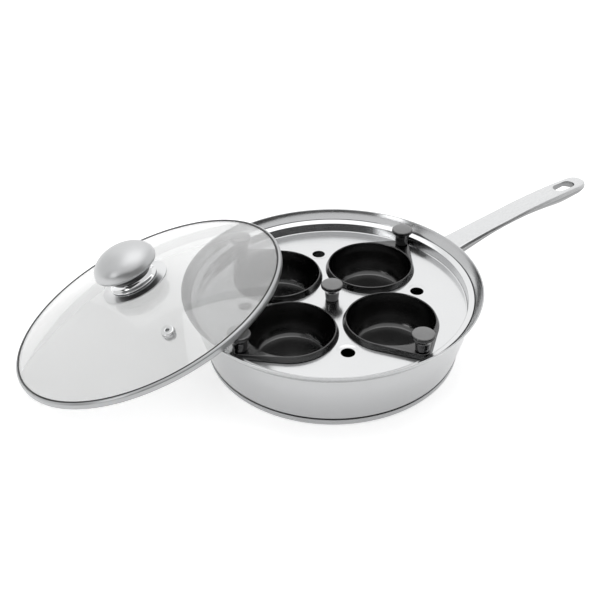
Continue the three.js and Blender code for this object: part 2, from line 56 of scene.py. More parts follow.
# Edge roundings, in millimetres and degrees
FINE_EDGE = 0.25
SOFT_EDGE = 0.7
KNOB_EDGE = 1.1
HANDLE_EDGE = 0.5
HANDLE_EDGE_STEPS = 3
HANDLE_EDGE_TURN = 50.0
SOFT_TURN = 35.0  # corners that turn less flow into one curve
KNOB_SOFT_TURN = 50.0
SHARP_TURN = 30.0  # edges that turn more stay sharp where a piece is cut
FILLET_ROOM_SHARE = 0.46  # of the shorter side beside a corner, for its rounding
CUP_FILLET_ROOM_SHARE = 0.45
HANDLE_SECTION_FILLET_SHARE = 0.03

# Cups, as in the CAD part
CUP_CREST_RADIUS = 36.6
CUP_CREST_HEIGHT = 5.0
CUP_DEPTH = 30.7
CUP_FLAT_RADIUS = 27.0
CUP_WAIST_RADIUS = 35.2
CUP_WAIST_DROP = 8.9
CUP_SHEET = 1.2
SHOULDER_RADIUS = 37.3
SHOULDER_DROP = 0.5
SKIRT_RADIUS = 39.4
EAR_REACH = 46.4
EAR_TOP_RADIUS = 6.5
EAR_FOOT_RADIUS = 7.4
FIT_GAP = 0.3
TRAY_HEIGHT = 47.2
EAR_ANGLES = {"front_right": -95.4, "back_right": 15.7, "back_left": 104.5, "front_left": -177.8}
DRAWN_LENGTH = EAR_REACH / 4  # what the share drawn out to the ear counts as in roundings

# Tray
TRAY_FLAT_RADIUS = 100.0  # all holes lie inside it
STEAM_CIRCLE_RADIUS = 73.5
STEAM_ANGLE = -23.8
STEAM_HOLE_RADIUS = 5.75
STEAM_DIMPLE_RADIUS = 11.5
STEAM_DIMPLE_DEPTH = 0.5
CUP_HOLE_RADIUS = 37.3
SCREW_HOLE_RADIUS = 2.0
CUTTER_OVERRUN = 5.0

# Handle, as in the CAD part
HANDLE_ROOT = 112.1
HANDLE_LENGTH = 176.0
HANDLE_ROOT_HEIGHT = 57.8
HANDLE_RISE = 20.2
HANDLE_HALF_WIDTH = 13.2
HANDLE_DEPTH = 14.2
SLOT_INSET = 23.0
SLOT_LENGTH = 23.5
SLOT_WIDTH = 11.8
SLOT_SHEET = 2.8  # the handle's top at the slot, hollowed below
SLOT_SIDE_MARGIN = 3.5
SLOT_END_MARGIN = 6.0

# Along the handle: share of its length, of its rise, of its half width and of its depth
HANDLE_SHARES = [
    (0, 0, 1, 0.97),
    (0.06, 0.07, 1, 0.95),
    (0.16, 0.218, 0.917, 0.9),
    (0.26, 0.361, 0.879, 0.735),
    (0.34, 0.463, 0.86, 0.61),
    (0.43, 0.57, 0.856, 0.545),
    (0.5, 0.663, 0.856, 0.585),
    (0.57, 0.745, 0.856, 0.65),
    (0.67, 0.834, 0.856, 0.78),
    (0.77, 0.906, 0.856, 0.93),
    (0.825, 0.94, 0.845, 1),
    (0.9, 0.97, 0.82, 0.9),
    (0.945, 0.985, 0.8, 0.8),
    (0.975, 0.993, 0.7, 0.6),
    (0.991, 0.997, 0.52, 0.42),
    (1, 1, 0.2, 0.25),
]
# The right half of its section, from the top round to the underside: share of the half width and depth
HANDLE_SECTION_SHARES = [
    (0.5, 0.015),
    (0.88, 0.0),
    (1.0, -0.24),
    (1.0, -0.4),
    (0.88, -0.62),
    (0.58, -0.88),
]

# Lid
LID_BORE_RADIUS = 3.0
SEAL_WIDTH = 1.3
SEAL_HEIGHT = 0.3
DOME_PROFILE_HALF_WIDTH = 0.02  # how far from the profile's plane its corners may lie
DOME_PROFILE_START = 20.0  # radius from where the profile is read

# Steam vent, with heights over the dome
VENT_BORE_RADIUS = 1.6
VENT_TUBE_RADIUS = 3.3
VENT_NUT_RADIUS = 4.9
VENT_FLANGE_RADIUS = 5.6
VENT_CROWN_RADIUS = 4.9
VENT_FOOT = -6.0
VENT_NUT_TOP = -4.3
VENT_FLANGE_TOP = 2.2
VENT_CROWN = 4.4
VENT_MIDDLE_DROP = 0.35  # from the dome down to the middle of the CAD node's corners

# The photograph's camera
CAMERA_PLACE = (-0.3284, -0.4962, 0.4622)
CAMERA_RIGHT = (0.8507, -0.5253, -0.0203)
CAMERA_UP = (0.3151, 0.4787, 0.8195)
CAMERA_BACK = (-0.4207, -0.7035, 0.5728)
CAMERA_LENS = 51.376
CAMERA_SENSOR = 36.0
CAMERA_CLIP = (0.01, 50)

# Studio, in metres: a softbox has its direction from the pan, distance, size and radiance
SOFTBOXES = {
    "top_softbox": ((0.1, 0.2, 1.0), 1.6, (1.5, 1.5), 0.9),
    "left_softbox": ((-0.9, -0.08, 0.43), 1.3, (0.4, 0.4), 3.0),
    "back_softbox": ((0.35, 0.85, 0.5), 2.2, (2.8, 1.5), 0.3),
}
AMBIENT = 0.6
FLOOR_HALF = 3.0
FLOOR_LIFT = 0.62  # the floor's own light, for the same rays as the white surround
WALL_DISTANCE = 1.5
WALL_HALF_ANGLE = 75.0
WALL_HEIGHTS = (0.15, 1.1)
WALL_STEPS = 48

# Tones: of a metal the light one first, of the other materials the dark one
STEEL_TONES = ((0.53, 0.535, 0.54), (0.48, 0.485, 0.49))
MIRROR_TONES = ((0.64, 0.645, 0.65), (0.61, 0.615, 0.62))
SPUN_TONES = ((0.56, 0.565, 0.57), (0.46, 0.465, 0.47))
HANDLE_TONES = ((0.74, 0.745, 0.75), (0.46, 0.465, 0.47))
SCREW_TONES = ((0.55, 0.555, 0.56), (0.48, 0.485, 0.49))
BARE_TONES = ((0.62, 0.625, 0.63), (0.56, 0.565, 0.57))
BAND_TONES = ((0.43, 0.435, 0.44), (0.37, 0.375, 0.38))
FOOT_SHADE_TONE = (0.38, 0.385, 0.39)  # painted shade at the foot of the pan's wall, for the shadowed floor it reflects
FOOT_SHADE_FADE = 0.045  # height where the foot's painted shade has faded away, in metres
UNDERSIDE_SHADE_TONE = (0.25, 0.252, 0.255)  # painted shade under the handle
BASE_TONES = ((0.42, 0.425, 0.43), (0.37, 0.375, 0.38))
BLACK_TONES = ((0.012, 0.012, 0.012), (0.022, 0.022, 0.022))
SILICONE_TONES = ((0.7, 0.7, 0.68), (0.78, 0.78, 0.76))
NON_STICK_TONES = ((0.001, 0.001, 0.001), (0.004, 0.004, 0.0042))
KNOB_TONE = (0.008, 0.008, 0.009)
# painted sheen on the knobs' crowns
CROWN_SHEEN_TONES = ((0.15, 0.15, 0.152), (0.22, 0.22, 0.222))
GLASS_TONES = ((0.85, 0.855, 0.855), (0.87, 0.875, 0.875))
FLOOR_TONES = ((0.93, 0.93, 0.93), (0.95, 0.95, 0.95))
WALL_TONES = ((0.06, 0.06, 0.06), (0.11, 0.11, 0.11))
GLASS_CLARITY = 0.74  # the rest is a whitish diffuse veil, painted reflection on the glass

# Surface grain
GRAIN_SPAN = (0.3, 0.7)  # the part of a fine noise's values that counts
CLOUD_SPAN = (0.35, 0.7)  # the same of a broad noise
ANGLE_SHARE = 0.004  # how far round the axis counts against across the grain
MARK_STRETCH = (1, 1, 6)
BRUSHED_STRETCH = 0.02
BUMP_DEPTH = 0.0002  # in metres
UNDERSIDE_SPAN = (0.1, 0.5)  # upward share of a normal, from the painted shade of the underside to the top's tone
CROWN_SPAN = (0.6, 0.97)  # the same, from a knob's flank to its crown with its painted sheen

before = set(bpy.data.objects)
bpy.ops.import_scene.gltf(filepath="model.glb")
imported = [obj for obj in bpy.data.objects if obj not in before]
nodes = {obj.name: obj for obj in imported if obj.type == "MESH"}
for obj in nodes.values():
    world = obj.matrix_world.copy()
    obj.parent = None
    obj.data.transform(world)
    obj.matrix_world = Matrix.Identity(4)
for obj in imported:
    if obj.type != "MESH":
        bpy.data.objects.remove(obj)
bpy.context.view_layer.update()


def mix(start, end, share):
    return start + (end - start) * share


# Shader nodes


class Shader:
    """A short way to build one node material."""

    def __init__(self, name, place=None):
        self.place = place
        self.material = bpy.data.materials.new(name)
        self.material.use_nodes = True
        self.tree = self.material.node_tree
        self.surface = self.tree.nodes["Principled BSDF"]

    def node(self, kind, **settings):
        made = self.tree.nodes.new(kind)
        for key, value in settings.items():
            setattr(made, key, value)
        return made

    def link(self, output, socket):
        self.tree.links.new(output, socket)

    def set(self, **values):
        for key, value in values.items():
            self.surface.inputs[key.replace("_", " ")].default_value = value

    def coordinates(self):
        """The piece's own axes: the object's, or those of a place that its mesh was moved to."""
        vector = self.node("ShaderNodeTexCoord").outputs["Object"]
        if self.place is None:
            return vector
        made = self.node("ShaderNodeMapping", vector_type="TEXTURE")
        made.inputs["Location"].default_value = self.place.translation
        made.inputs["Rotation"].default_value = self.place.to_euler()
        self.link(vector, made.inputs["Vector"])
        return made.outputs["Vector"]

    def math(self, operation, a, b=None):
        made = self.node("ShaderNodeMath", operation=operation)
        for index, value in enumerate((a, b)):
            if value is None:
                continue
            if isinstance(value, (int, float)):
                made.inputs[index].default_value = value
            else:
                self.link(value, made.inputs[index])
        return made.outputs[0]

    def noise(self, vector, scale, detail=3.0, roughness=0.55):
        made = self.node("ShaderNodeTexNoise")
        made.inputs["Scale"].default_value = scale
        made.inputs["Detail"].default_value = detail
        made.inputs["Roughness"].default_value = roughness
        self.link(vector, made.inputs["Vector"])
        return made.outputs["Fac"]

    def stretched(self, vector, scale):
        made = self.node("ShaderNodeMapping")
        made.inputs["Scale"].default_value = scale
        self.link(vector, made.inputs["Vector"])
        return made.outputs["Vector"]

    def ring_coordinates(self):
        """Turned metal's own axes: nearly constant round the axis, changing with radius and height."""
        parts = self.node("ShaderNodeSeparateXYZ")
        self.link(self.coordinates(), parts.inputs[0])
        x, y, z = parts.outputs
        angle = self.math("ARCTAN2", y, x)
        square = self.math("ADD", self.math("MULTIPLY", x, x), self.math("MULTIPLY", y, y))
        radius = self.math("SQRT", square)
        joined = self.node("ShaderNodeCombineXYZ")
        self.link(radius, joined.inputs[0])
        self.link(z, joined.inputs[1])
        self.link(self.math("MULTIPLY", angle, ANGLE_SHARE), joined.inputs[2])
        return joined.outputs[0]

    def ramp(self, value, low, high, start=0.0, end=1.0):
        """A float from low to high as the value goes from start to end."""
        made = self.node("ShaderNodeMapRange")
        made.inputs["From Min"].default_value = start
        made.inputs["From Max"].default_value = end
        made.inputs["To Min"].default_value = low
        made.inputs["To Max"].default_value = high
        self.link(value, made.inputs["Value"])
        return made.outputs[0]

    def tint(self, value, low, high):
        """From the plain colour low to the plain colour high, as the value goes from 0 to 1."""
        made = self.node("ShaderNodeMix", data_type="RGBA")
        made.inputs["A"].default_value = (*low, 1)
        made.inputs["B"].default_value = (*high, 1)
        self.link(value, made.inputs["Factor"])
        return made.outputs["Result"]

    def blend(self, value, low, high):
        """From the plain colour low to the colour output high, as the value goes from 0 to 1."""
        made = self.node("ShaderNodeMix", data_type="RGBA")
        made.inputs["A"].default_value = (*low, 1)
        self.link(high, made.inputs["B"])
        self.link(value, made.inputs["Factor"])
        return made.outputs["Result"]

    def colour(self, output):
        self.link(output, self.surface.inputs["Base Color"])

    def roughness(self, output):
        self.link(output, self.surface.inputs["Roughness"])

    def height(self):
        """Height in the piece's own axes, in metres."""
        parts = self.node("ShaderNodeSeparateXYZ")
        self.link(self.coordinates(), parts.inputs[0])
        return parts.outputs[2]

    def facing_up(self, low, high):
        """0 where the surface's own normal has less than the low upward share, 1 above the high one."""
        parts = self.node("ShaderNodeSeparateXYZ")
        self.link(self.node("ShaderNodeTexCoord").outputs["Normal"], parts.inputs[0])
        return self.ramp(parts.outputs[2], 0.0, 1.0, low, high)

    def bump(self, height, strength):
        made = self.node("ShaderNodeBump")
        made.inputs["Strength"].default_value = strength
        made.inputs["Distance"].default_value = BUMP_DEPTH
        self.link(height, made.inputs["Height"])
        self.link(made.outputs[0], self.surface.inputs["Normal"])


def turned_steel(name, tones, roughness, grain, spread=0.08, place=None, foot=None):
    """Steel with a fine grain round its axis, faint handling marks and a soft variation in tone.

    A foot gives the tone of the painted shade at the pan's foot, for the shadowed floor the wall reflects,
    and the height, in metres, where it has faded away.
    """
    light, dark = tones
    shader = Shader(name, place)
    rings = shader.ring_coordinates()
    lines = shader.noise(rings, scale=grain, detail=4)
    cloud = shader.noise(shader.coordinates(), scale=22, detail=3)
    marks = shader.noise(shader.stretched(rings, MARK_STRETCH), scale=grain / 3, detail=2)
    mixed = shader.math("MULTIPLY", shader.math("ADD", lines, marks), 0.5)
    colour = shader.tint(cloud, dark, light)
    # painted shade: the steel darker towards the foot, where the wall reflects the shadowed floor
    if foot:
        tone, fade = foot
        colour = shader.blend(shader.ramp(shader.height(), 0.0, 1.0, 0.0, fade), tone, colour)
    shader.colour(colour)
    fine = shader.ramp(mixed, roughness, roughness + spread, *GRAIN_SPAN)
    broad = shader.ramp(cloud, 0, spread / 2, *CLOUD_SPAN)
    shader.roughness(shader.math("ADD", fine, broad))
    shader.set(Metallic=1.0)
    shader.bump(lines, strength=0.012)
    return shader.material


def brushed_steel(name, tones, under, roughness, direction, grain):
    """Steel brushed along one direction of the piece, with painted shade on its underside."""
    light, dark = tones
    shader = Shader(name)
    along = tuple(grain * (BRUSHED_STRETCH if axis == direction else 1) for axis in range(3))
    lines = shader.noise(shader.stretched(shader.coordinates(), along), scale=1, detail=5, roughness=0.7)
    cloud = shader.noise(shader.coordinates(), scale=18, detail=3)
    # painted shade: the underside darker than the top
    top = shader.facing_up(*UNDERSIDE_SPAN)
    shader.colour(shader.blend(top, under, shader.tint(lines, dark, light)))
    fine = shader.ramp(lines, roughness - 0.03, roughness + 0.05, *GRAIN_SPAN)
    broad = shader.ramp(cloud, 0, 0.03, *CLOUD_SPAN)
    shader.roughness(shader.math("ADD", fine, broad))
    shader.set(Metallic=1.0)
    shader.bump(lines, strength=0.015)
    return shader.material


def non_stick():
    """Black coating: fine speckle, an orange-peel surface and paler rubbed patches."""
    shader = Shader("non_stick_coating")
    place = shader.coordinates()
    speckle = shader.noise(place, scale=2600, detail=2)
    peel = shader.noise(place, scale=700, detail=3)
    cloud = shader.noise(place, scale=45, detail=3)
    specks = shader.ramp(speckle, 0, 0.7, 0.55, 0.75)
    patches = shader.ramp(cloud, 0, 0.3, 0.4, 0.7)
    shader.colour(shader.tint(shader.math("ADD", specks, patches), *NON_STICK_TONES))
    shader.roughness(shader.ramp(cloud, 0.17, 0.24, *CLOUD_SPAN))
    shader.set(IOR=1.85)
    shader.bump(peel, strength=0.05)
    return shader.material


def moulded_plastic(name, tones, roughness, scale, place=None):
    """Plastic, rubber or sealant with a fine uneven surface."""
    shader = Shader(name, place)
    grain = shader.noise(shader.coordinates(), scale, detail=3)
    shader.colour(shader.tint(grain, *tones))
    shader.roughness(shader.ramp(grain, roughness - 0.06, roughness + 0.08, *GRAIN_SPAN))
    shader.bump(grain, strength=0.1)
    return shader.material


def knob_plastic_material():
    """Glossy black moulded plastic, with a painted grey sheen on the crown, which is also duller there."""
    shader = Shader("knob_plastic")
    place = shader.coordinates()
    grain = shader.noise(place, scale=1400, detail=3)
    marks = shader.noise(place, scale=160, detail=4)
    # painted sheen: the crown greyer than the flanks, as if lit from above
    crown = shader.facing_up(*CROWN_SPAN)
    shader.colour(shader.blend(crown, KNOB_TONE, shader.tint(marks, *CROWN_SHEEN_TONES)))
    gloss = shader.ramp(marks, 0.1, 0.16, *CLOUD_SPAN)
    shader.roughness(shader.math("ADD", gloss, shader.ramp(crown, 0.0, 0.2)))
    shader.set(IOR=1.7)
    shader.bump(grain, strength=0.03)
    return shader.material


def lid_glass_material(place):
    """Tempered glass with a faint grey tint, a whitish veil of painted reflection and barely uneven polish.
    """
    shader = Shader("tempered_glass", place)
    cloud = shader.noise(shader.coordinates(), scale=30, detail=2)
    shader.colour(shader.tint(cloud, *GLASS_TONES))
    shader.roughness(shader.ramp(cloud, 0.0, 0.012, 0.4, 0.7))
    # painted reflection: the share not let through scatters as a whitish veil
    shader.set(IOR=1.7, Transmission_Weight=GLASS_CLARITY)
    return shader.material


# Geometry


def link_object(name, data):
    obj = bpy.data.objects.new(name, data)
    bpy.context.scene.collection.objects.link(obj)
    return obj


def dedupe(points):
    """An outline without its repeated points."""
    kept = [points[0]]
    for point in points[1:]:
        if math.dist(point, kept[-1]) > SAME_POINT:
            kept.append(point)
    return kept


def fillet(points, radius, closed, soft_turn=SOFT_TURN):
    """Rounds each corner of a path: hard corners by the radius, gentle ones into one flowing curve."""
    points = dedupe(points)
    if closed and math.dist(points[0], points[-1]) < SAME_POINT:
        points = points[:-1]
    made = []
    count = len(points)
    for i, here in enumerate(points):
        if not closed and i in (0, count - 1):
            made.append(tuple(here))
            continue
        before = Vector(points[i - 1]) - Vector(here)
        after = Vector(points[(i + 1) % count]) - Vector(here)
        turn = 180.0 - math.degrees(before.angle(after))
        room = FILLET_ROOM_SHARE * min(before.length, after.length)
        cut = room if turn < soft_turn else min(room, radius)
        start = Vector(here) + before.normalized() * cut
        end = Vector(here) + after.normalized() * cut
        middle = Vector(here)
        for step in range(FILLET_STEPS + 1):
            share = step / FILLET_STEPS
            point = start * (1 - share) ** 2 + middle * 2 * share * (1 - share) + end * share ** 2
            made.append(tuple(point))
    return made


def section(node, place=None, inner=0.0):
    """The outline of a turned CAD node as (radius, height) points in millimetres, read on its -Y side."""
    inverse = (place or Matrix.Identity(4)).inverted()
    mesh = nodes[node].data
    names = {}
    for vertex in mesh.vertices:
        local = inverse @ vertex.co
        radius = math.hypot(local.x, local.y)
        if radius < TOLERANCE:
            names[vertex.index] = (0.0, round(local.z / MM, 2))
        elif abs(local.x) < TOLERANCE and local.y < 0 and radius > inner * MM:
            names[vertex.index] = (round(radius / MM, 2), round(local.z / MM, 2))
    links = {}
    for edge in mesh.edges:
        a, b = (names.get(index) for index in edge.vertices)
        if a is not None and b is not None and a != b:
            links.setdefault(a, set()).add(b)
            links.setdefault(b, set()).add(a)
    ends = sorted(point for point, found in links.items() if len(found) == 1)
    path = [ends[0] if ends else min(links)]
    while True:
        onward = [point for point in sorted(links[path[-1]]) if point not in path]
        if not onward:
            return path, not ends
        path.append(onward[0])


def new_piece(name, mesh, body, material, node_names, place=None):
    """Puts a finished mesh in the scene, moved to its place, instead of its CAD nodes."""
    obj = link_object(name, mesh)
    if place:
        mesh.transform(place)
    mesh.materials.clear()
    mesh.materials.append(material)
    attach(obj, body)
    if node_names:
        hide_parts(*node_names)
    return obj


def smooth_mesh(name, vertices, faces):
    """A smooth-shaded mesh from corners in millimetres, welded and with its faces outward."""
    mesh = bpy.data.meshes.new(name)
    mesh.from_pydata([tuple(Vector(v) * MM) for v in vertices], [], faces)
    mesh.update()
    welded = bmesh.new()
    welded.from_mesh(mesh)
    bmesh.ops.remove_doubles(welded, verts=welded.verts, dist=WELD_DISTANCE)
    bmesh.ops.recalc_face_normals(welded, faces=welded.faces)
    welded.to_mesh(mesh)
    welded.free()
    mesh.shade_smooth()
    return mesh


def revolve(name, outline, closed, segments):
    """A smooth solid of revolution about Z."""
    vertices = []
    rings = []
    for radius, height in outline:
        if radius < 1e-6:
            rings.append([len(vertices)] * segments)
            vertices.append((0, 0, height))
            continue
        rings.append(list(range(len(vertices), len(vertices) + segments)))
        for step in range(segments):
            turn = 2 * math.pi * step / segments
            vertices.append((radius * math.cos(turn), radius * math.sin(turn), height))
    pairs = list(zip(rings, rings[1:])) + ([(rings[-1], rings[0])] if closed else [])
    faces = []
    for low, high in pairs:
        for step in range(segments):
            after = (step + 1) % segments
            corners = [low[step], low[after], high[after], high[step]]
            faces.append(tuple(dict.fromkeys(corners)))
    return smooth_mesh(name, vertices, faces)


def turned_piece(name, node, body, material, edge, place=None, segments=WIDE_SEGMENTS):
    """A smooth version of one turned CAD node, with its edges rounded."""
    outline, closed = section(node, place)
    mesh = revolve(name, fillet(outline, edge, closed), closed, segments)
    return new_piece(name, mesh, body, material, [node], place)


def cut(obj, cutters):
    """Cuts holes and applies the result, keeping flat faces flat."""
    for cutter in cutters:
        modifier = obj.modifiers.new("cut", "BOOLEAN")
        modifier.object = cutter
        modifier.solver = "EXACT"
    evaluated = obj.evaluated_get(bpy.context.evaluated_depsgraph_get())
    mesh = bpy.data.meshes.new_from_object(evaluated)
    obj.modifiers.clear()
    obj.data = mesh
    for cutter in cutters:
        bpy.data.objects.remove(cutter)
    mesh.set_sharp_from_angle(angle=math.radians(SHARP_TURN))


def drill(radius, low, high, x=0.0, y=0.0, segments=SMALL_SEGMENTS):
    """An upright cylinder, for cutting."""
    mesh = revolve("drill", [(0, low), (radius, low), (radius, high), (0, high)], False, segments)
    obj = link_object("drill", mesh)
    obj.location = (x * MM, y * MM, 0)
    return obj


def lid_place():
    """The lid's own frame, read from its band and grip: Z along its axis, X up the slope."""
    def middle(node):
        points = {tuple(round(c, 6) for c in v.co) for v in nodes[node].data.vertices}
        return sum((Vector(p) for p in points), Vector()) / len(points)
    base, tip = middle("lid_band"), middle("lid_knob_cap")
    axis = (tip - base).normalized()
    up = Vector((0, 0, 1))
    slope = (up - axis * axis.dot(up)).normalized()
    across = axis.cross(slope)
    foot = min((v.co - base).dot(axis) for v in nodes["lid_band"].data.vertices)
    place = Matrix((slope, across, axis)).transposed().to_4x4()
    place.translation = base + axis * foot
    return place


def pan_body(steel, base_steel):
    """The vessel and the cap of its base."""
    turned_piece("pan_shell", "pan_body", "pan", steel, SOFT_EDGE)
    turned_piece("base_shell", "base_cap", "pan", base_steel, FINE_EDGE)


def tray(mirror):
    """The tray: its rim from the frame, and a flat with four cup holes and four dimpled steam holes."""
    rim, _ = section("poaching_tray", inner=TRAY_FLAT_RADIUS)
    top, bottom = TRAY_HEIGHT, min(z for _, z in rim)
    if rim[0][1] < rim[-1][1]:
        rim.reverse()
    outline = [(0, top), *rim, (0, bottom)]
    mesh = revolve("tray_plate", fillet(outline, SOFT_EDGE, False), False, WIDE_SEGMENTS)
    obj = new_piece("tray_plate", mesh, "tray", mirror, ["poaching_tray"])
    low, high = bottom - CUTTER_OVERRUN, top + CUTTER_OVERRUN
    steam_places = [steam_place(quarter) for quarter in range(len(EAR_ANGLES))]
    cutters = [drill(SCREW_HOLE_RADIUS, low, high)]
    for name, place in zip(EAR_ANGLES, steam_places):
        cutters.append(drill(CUP_HOLE_RADIUS, low, high, *cup_centre(name), segments=CUP_HOLE_SEGMENTS))
        cutters.append(drill(STEAM_DIMPLE_RADIUS, low, high, *place))
    cut(obj, cutters)
    ring = dimple_outline(top, bottom)
    for index, (x, y) in enumerate(steam_places):
        name = f"steam_dimple_{index + 1}"
        mesh = revolve(name, ring, True, SMALL_SEGMENTS)
        mesh.set_sharp_from_angle(angle=math.radians(SHARP_TURN))
        seat = Matrix.Translation((x * MM, y * MM, 0))
        new_piece(name, mesh, "tray", mirror, [], seat)


def steam_place(quarter):
    angle = math.radians(STEAM_ANGLE + 90 * quarter)
    return STEAM_CIRCLE_RADIUS * math.cos(angle), STEAM_CIRCLE_RADIUS * math.sin(angle)


def dimple_outline(top, bottom):
    """The sheet round a steam hole, pressed down towards the hole."""
    upper = []
    for step in range(DIMPLE_STEPS + 1):
        share = step / DIMPLE_STEPS
        drop = STEAM_DIMPLE_DEPTH * (0.5 + 0.5 * math.cos(math.pi * share))
        upper.append((mix(STEAM_HOLE_RADIUS, STEAM_DIMPLE_RADIUS, share), top - drop))
    return [*reversed(upper), *[(r, z - (top - bottom)) for r, z in upper]]


def cup_centre(name):
    """A cup's axis, from its knob's place and its ear's direction."""
    low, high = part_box(f"cup_knob_{name}")
    angle = math.radians(EAR_ANGLES[name])
    knob = (low + high) / 2 / MM
    return knob.x - EAR_REACH * math.cos(angle), knob.y - EAR_REACH * math.sin(angle)


def teardrop(radius, tip_radius):
    """Points round a cup circle drawn out to the ear's smaller circle, always as many."""
    flank = math.acos((radius - tip_radius) / EAR_REACH)
    points = []
    for i in range(CUP_TIP_SEGMENTS):
        angle = mix(-flank, flank, i / (CUP_TIP_SEGMENTS - 1))
        points.append((EAR_REACH + tip_radius * math.cos(angle), tip_radius * math.sin(angle)))
    start = points[-1]
    end = (radius * math.cos(flank), radius * math.sin(flank))
    side = [(i + 1) / (CUP_SIDE_SEGMENTS + 1) for i in range(CUP_SIDE_SEGMENTS)]
    points += [(mix(start[0], end[0], s), mix(start[1], end[1], s)) for s in side]
    for i in range(CUP_ARC_SEGMENTS):
        angle = mix(flank, 2 * math.pi - flank, i / (CUP_ARC_SEGMENTS - 1))
        points.append((radius * math.cos(angle), radius * math.sin(angle)))
    points += [(mix(end[0], start[0], s), -mix(end[1], start[1], s)) for s in side]
    return points


def bowl_wall(sheet):
    """The bowl's curve from its waist to its flat, as (radius, height), a sheet further out."""
    waist = CUP_CREST_HEIGHT - CUP_WAIST_DROP
    points = []
    for i in range(BOWL_STEPS + 1):
        turn = math.pi / 2 * i / BOWL_STEPS
        radius = CUP_FLAT_RADIUS + (CUP_WAIST_RADIUS + sheet - CUP_FLAT_RADIUS) * math.cos(turn)
        points.append((radius, waist - (CUP_DEPTH - CUP_WAIST_DROP + sheet) * math.sin(turn)))
    return points


def cup_outline():
    """A cup's section from the inside of its flat, over the crest and skirt, to the outside of its flat.

    Each step is (circle radius, tip radius, height, share drawn out to the ear).
    """
    lip = CUP_CREST_HEIGHT - SHOULDER_DROP
    tip = EAR_TOP_RADIUS
    roof = CUP_CREST_HEIGHT / 2
    flat = CUP_CREST_HEIGHT - CUP_DEPTH
    return [
        (CUP_FLAT_RADIUS / 2, tip, flat, 0.0),
        *[(r, tip, z, 0.0) for r, z in reversed(bowl_wall(0))],
        (CUP_CREST_RADIUS - CUP_SHEET / 2, tip, lip - SHOULDER_DROP, 0.0),
        (CUP_CREST_RADIUS, tip, CUP_CREST_HEIGHT, 0.0),
        (SHOULDER_RADIUS, tip, lip, 0.0),
        (SHOULDER_RADIUS, tip, lip, 1.0),
        (SKIRT_RADIUS, EAR_FOOT_RADIUS, FIT_GAP, 1.0),
        (SKIRT_RADIUS - CUP_SHEET, EAR_FOOT_RADIUS - CUP_SHEET, FIT_GAP, 1.0),
        (SHOULDER_RADIUS, tip - CUP_SHEET / 2, roof, 1.0),
        (CUP_CREST_RADIUS, tip, roof, 0.0),
        *[(r, tip, z, 0.0) for r, z in bowl_wall(CUP_SHEET)],
        (CUP_FLAT_RADIUS / 2, tip, flat - CUP_SHEET, 0.0),
    ]


def cup_mesh():
    """A cup about its own axis, z = 0 on the tray, its ear towards +X."""
    reference = teardrop(SHOULDER_RADIUS, EAR_TOP_RADIUS)
    rounded = cup_fillet(cup_outline())
    flat = CUP_CREST_HEIGHT - CUP_DEPTH
    vertices = [(0, 0, flat)]
    for radius, tip_radius, height, drawn in rounded:
        drop = teardrop(radius, tip_radius) if drawn > 0 else reference
        for (rx, ry), (dx, dy) in zip(reference, drop):
            length = math.hypot(rx, ry)
            x = mix(rx * radius / length, dx, drawn)
            y = mix(ry * radius / length, dy, drawn)
            vertices.append((x, y, height))
    last = len(vertices)
    vertices.append((0, 0, flat - CUP_SHEET))
    top = 1 + (len(rounded) - 1) * CUP_SEGMENTS
    faces = ring_faces(len(rounded), CUP_SEGMENTS, 1)
    for i in range(CUP_SEGMENTS):
        j = (i + 1) % CUP_SEGMENTS
        faces.append((0, 1 + j, 1 + i))
        faces.append((last, top + i, top + j))
    return smooth_mesh("cup", vertices, faces)


def ring_faces(ring_count, count, first=0):
    """Faces between neighbouring rings of so many corners each, from the first corner on."""
    faces = []
    for ring in range(ring_count - 1):
        low = first + ring * count
        high = low + count
        for i in range(count):
            j = (i + 1) % count
            faces.append((low + i, low + j, high + j, high + i))
    return faces


def cup_fillet(outline):
    """Rounds the cup's outline; the drawn-out share counts as a length of its own."""
    scaled = [(r, t, z, drawn * DRAWN_LENGTH) for r, t, z, drawn in outline]
    made = []
    for i, here in enumerate(scaled):
        if i in (0, len(scaled) - 1):
            made.append(here)
            continue
        before = [a - b for a, b in zip(scaled[i - 1], here)]
        after = [a - b for a, b in zip(scaled[i + 1], here)]
        cuts = []
        for side in (before, after):
            length = math.hypot(*side)
            reach = min(SOFT_EDGE, CUP_FILLET_ROOM_SHARE * length) / length
            cuts.append([b + s * reach for b, s in zip(here, side)])
        for step in range(FILLET_STEPS + 1):
            s = step / FILLET_STEPS
            made.append(tuple(a * (1 - s) ** 2 + h * 2 * s * (1 - s) + b * s * s
                              for a, h, b in zip(cuts[0], here, cuts[1])))
    return [(r, t, z, min(1.0, max(0.0, drawn / DRAWN_LENGTH))) for r, t, z, drawn in made]


def cups(coating, plastic):
    """The four cups, each with its knob on its ear."""
    mesh = cup_mesh()
    knob_mesh = knob()
    for name, ear in EAR_ANGLES.items():
        x, y = cup_centre(name)
        turn = Matrix.Rotation(math.radians(ear), 4, "Z")
        place = Matrix.Translation((x * MM, y * MM, TRAY_HEIGHT * MM)) @ turn
        low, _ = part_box(f"cup_knob_{name}")
        seat = place @ Matrix.Translation((EAR_REACH * MM, 0, low.z - TRAY_HEIGHT * MM))
        body = f"{name}_cup"
        new_piece(f"cup_{name}", mesh.copy(), body, coating, [f"egg_cup_{name}"], place)
        knob_node = [f"cup_knob_{name}"]
        new_piece(f"knob_{name}", knob_mesh.copy(), body, plastic, knob_node, seat)


def knob():
    """One lifting knob about its own axis, from the tray's centre knob."""
    outline, closed = section("centre_knob")
    base = min(z for _, z in outline)
    moved = [(r, z - base) for r, z in outline]
    rounded = fillet(moved, KNOB_EDGE, closed, KNOB_SOFT_TURN)
    return revolve("knob", rounded, closed, SMALL_SEGMENTS)


def centre_knob(plastic):
    low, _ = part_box("centre_knob")
    seat = Matrix.Translation((0, 0, low.z))
    new_piece("tray_knob", knob(), "tray", plastic, ["centre_knob"], seat)


